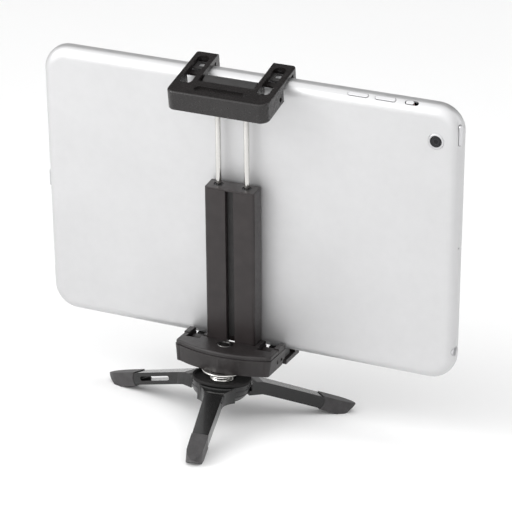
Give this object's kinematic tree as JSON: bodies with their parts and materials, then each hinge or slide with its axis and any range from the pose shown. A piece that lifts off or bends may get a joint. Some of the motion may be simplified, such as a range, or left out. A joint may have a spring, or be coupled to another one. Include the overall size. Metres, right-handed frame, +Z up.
{
  "type": "tablet prompter stand",
  "caption": "Tablet held in landscape by a sprung two-rod clamp with hooked jaws, on a ball head over a small folding three-legged table tripod.",
  "frame": {"origin": "on the floor, under the middle of the whole object's box; the tripod's upright axis stands at x 4.2 mm, y -9.7 mm", "axes": "+Z up; the screen faces -Y and the back of the tablet faces +Y; +X to the right as the screen is read"},
  "size_m": [0.2, 0.113, 0.1693],
  "materials": {
    "leg_gloss": "polished black",
    "jaw_gloss": "glossy black",
    "body_satin": "fine satin black",
    "column_satin": "black anodised",
    "rubber_foot": "matt dark grey",
    "rubber_pad": "matt black",
    "steel": "turned bright",
    "spring_steel": "drawn wire",
    "nylon": "moulded",
    "brass": "machined",
    "cast_grey": "die cast",
    "tablet_silver": "fine bead blasted",
    "key_silver": "satin",
    "tablet_glass": "polished black",
    "screen": "dark panel",
    "lens": "coated",
    "cell": "laminate",
    "board": "solder mask",
    "socket": "moulded"
  },
  "bodies": {
    "tripod": {"hub_cup": "body_satin", "hub_cap": "leg_gloss", "washer_lower": "nylon", "washer_upper": "nylon", "leg_front": "leg_gloss", "foot_front": "rubber_foot"},
    "left_leg": {"leg_left": "leg_gloss", "foot_left": "rubber_foot"},
    "right_leg": {"leg_right": "leg_gloss", "foot_right": "rubber_foot"},
    "seat_lower": {"seat_cup": "nylon"},
    "seat_upper": {"seat_ring": "nylon"},
    "clamp": {"ball_stud": "steel", "stud_insert": "brass", "cover_screw": "steel", "lower_housing": "body_satin", "lower_cover": "body_satin", "foot_bracket": "cast_grey", "foot_screw_left": "steel", "foot_screw_right": "steel", "lower_pin": "steel", "lower_spring_left": "spring_steel", "lower_spring_right": "spring_steel", "column": "column_satin", "column_inlay": "rubber_pad", "column_cap": "column_satin", "guide_bush_left": "nylon", "guide_bush_right": "nylon", "main_spring_left": "spring_steel", "main_spring_right": "spring_steel"},
    "lower_jaw": {"lower_arm": "body_satin", "lower_pad_left": "rubber_pad", "lower_pad_right": "rubber_pad"},
    "slider": {"rod_left": "steel", "rod_right": "steel", "rod_nut_left": "steel", "rod_nut_right": "steel", "crosshead": "body_satin", "barrel_grip": "rubber_pad", "upper_spring": "spring_steel"},
    "upper_jaw": {"upper_frame": "jaw_gloss", "upper_pin": "steel", "upper_pad_left": "rubber_pad", "upper_pad_right": "rubber_pad"},
    "tablet": {"tablet_housing": "tablet_silver", "tablet_glass": "tablet_glass", "tablet_display": "screen", "tablet_battery": "cell", "tablet_board": "board", "headphone_socket": "socket", "charging_socket": "socket", "camera_ring": "key_silver", "camera_lens": "lens"},
    "power_key": {"power_key": "key_silver"},
    "volume_up_key": {"volume_up_key": "key_silver"},
    "volume_down_key": {"volume_down_key": "key_silver"},
    "mute_switch": {"mute_switch": "key_silver"},
    "home_key": {"home_key": "tablet_glass"}
  },
  "joints": [
    {"name": "left_leg_swing", "type": "hinge", "parent": "tripod", "child": "left_leg", "pos_m": [0.0042, -0.0097, 0.01585], "axis": [0, 0, 1], "range_deg": [0, 52]},
    {"name": "right_leg_swing", "type": "hinge", "parent": "tripod", "child": "right_leg", "pos_m": [0.0042, -0.0097, 0.01325], "axis": [0, 0, 1], "range_deg": [-52, 0]},
    {"name": "ball_tilt_fore_aft", "type": "hinge", "parent": "tripod", "child": "seat_lower", "pos_m": [0.0042, -0.0097, 0.0172], "axis": [1, 0, 0], "range_deg": [-8.5, 8.5]},
    {"name": "ball_tilt_sideways", "type": "hinge", "parent": "seat_lower", "child": "seat_upper", "pos_m": [0.0042, -0.0097, 0.0172], "axis": [0, 1, 0], "range_deg": [-8.5, 8.5]},
    {"name": "ball_pan", "type": "hinge", "parent": "seat_upper", "child": "clamp", "pos_m": [0.0042, -0.0097, 0.0172], "axis": [0, 0.0785, 0.9969], "continuous": true},
    {"name": "lower_jaw_fold", "type": "hinge", "parent": "clamp", "child": "lower_jaw", "pos_m": [0.0042, -0.02281, 0.02911], "axis": [1, 0, 0], "range_deg": [0, 25], "stiffness_Nm_per_rad": 0.12, "springref_deg": -40.11},
    {"name": "clamp_slide", "type": "slide", "parent": "clamp", "child": "slider", "axis": [0, 0.2164, 0.9763], "range_m": [0, 0.0053], "stiffness_N_per_m": 160, "springref_m": -0.05, "deforming": ["main_spring_left", "main_spring_right"]},
    {"name": "upper_jaw_fold", "type": "hinge", "parent": "slider", "child": "upper_jaw", "pos_m": [0.0042, 0.0065, 0.15689], "axis": [1, 0, 0], "range_deg": [-70, 0], "stiffness_Nm_per_rad": 0.03, "springref_deg": 45.84},
    {"name": "tablet_slide_out", "type": "slide", "parent": "clamp", "child": "tablet", "axis": [-1, 0, 0], "range_m": [0, 0.13]},
    {"name": "power_press", "type": "slide", "parent": "tablet", "child": "power_key", "axis": [0.866, -0.4881, 0.1082], "range_m": [0, 0.0003], "stiffness_N_per_m": 900, "springref_m": -0.0005},
    {"name": "volume_up_press", "type": "slide", "parent": "tablet", "child": "volume_up_key", "axis": [0, -0.6756, -0.7373], "range_m": [0, 0.0003], "stiffness_N_per_m": 900, "springref_m": -0.0005},
    {"name": "volume_down_press", "type": "slide", "parent": "tablet", "child": "volume_down_key", "axis": [0, -0.6756, -0.7373], "range_m": [0, 0.0003], "stiffness_N_per_m": 900, "springref_m": -0.0005},
    {"name": "mute_slide", "type": "slide", "parent": "tablet", "child": "mute_switch", "axis": [-1, 0, 0], "range_m": [0, 0.0016]},
    {"name": "home_press", "type": "slide", "parent": "tablet", "child": "home_key", "axis": [0, 0.9763, -0.2164], "range_m": [0, 0.0004], "stiffness_N_per_m": 900, "springref_m": -0.0005}
  ]
}
